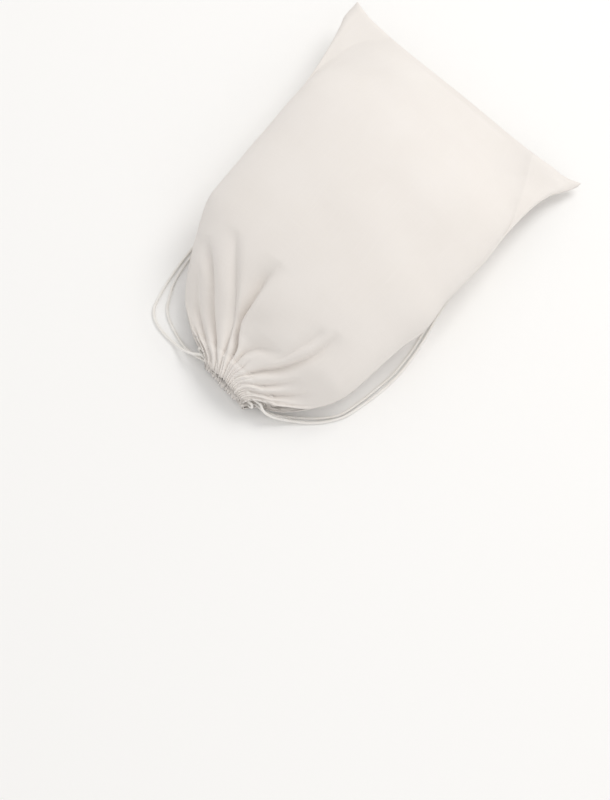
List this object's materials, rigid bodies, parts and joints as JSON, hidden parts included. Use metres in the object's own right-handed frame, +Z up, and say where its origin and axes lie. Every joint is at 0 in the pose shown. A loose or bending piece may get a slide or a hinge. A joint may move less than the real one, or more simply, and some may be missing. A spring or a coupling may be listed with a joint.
{
  "type": "drawstring bag",
  "caption": "Filled cotton drawstring bag lying on its back panel, mouth gathered shut by knotted cords that leave the casing on each side.",
  "frame": {"origin": "on the flat of the back panel that the bag lies on, under the middle of the filled bag", "axes": "+Y from the gathered mouth to the bottom seam, +Z up out of the front panel, X across the bag"},
  "size_m": [0.2063, 0.2873, 0.069],
  "materials": {
    "cotton_cloth": "matte",
    "cotton_cord": "matte"
  },
  "bodies": {
    "root": {"front_panel": "cotton_cloth", "back_panel": "cotton_cloth", "front_casing": "cotton_cloth", "back_casing": "cotton_cloth", "left_drawcord_in_casing": "cotton_cord", "left_drawcord_front_strand": "cotton_cord", "left_drawcord_back_strand": "cotton_cord", "left_drawcord_knot": "cotton_cord", "right_drawcord_in_casing": "cotton_cord", "right_drawcord_front_strand": "cotton_cord", "right_drawcord_back_strand": "cotton_cord", "right_drawcord_knot": "cotton_cord"}
  },
  "joints": []
}
